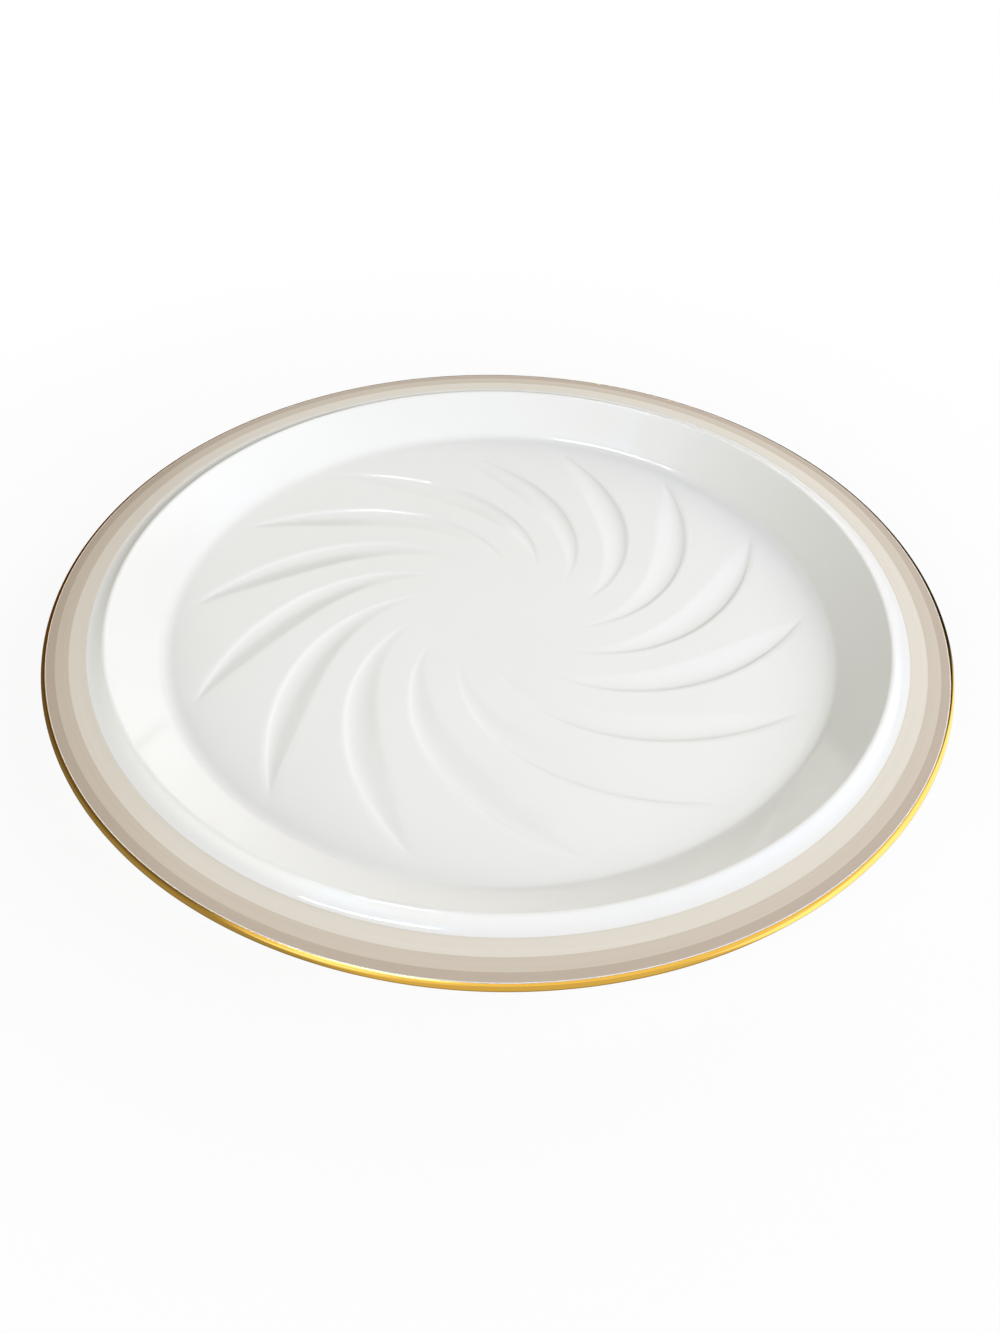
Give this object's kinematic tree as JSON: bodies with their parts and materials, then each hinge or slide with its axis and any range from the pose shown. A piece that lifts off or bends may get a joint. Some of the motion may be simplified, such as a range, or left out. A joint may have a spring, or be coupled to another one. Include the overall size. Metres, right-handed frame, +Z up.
{
  "type": "serving plate",
  "caption": "Round white porcelain serving plate with a gilded lip, taupe to cream enamel bands on a flat flange, a raised crest inside them, and a shallow well with a swirl-fluted floor.",
  "frame": {"origin": "on the table at the centre of the foot ring", "axes": "+Z up out of the well, along the axis that the plate is turned round; +X and +Y are any two level directions at right angles"},
  "size_m": [0.32, 0.32, 0.0233],
  "materials": {
    "porcelain": "gloss",
    "gilding": "polished",
    "taupe_enamel": "gloss",
    "sand_enamel": "gloss",
    "cream_enamel": "gloss"
  },
  "bodies": {
    "root": {"porcelain_body": "porcelain", "gilded_lip": "gilding", "enamel_taupe_band": "taupe_enamel", "enamel_sand_band": "sand_enamel", "enamel_cream_band": "cream_enamel"}
  },
  "joints": []
}
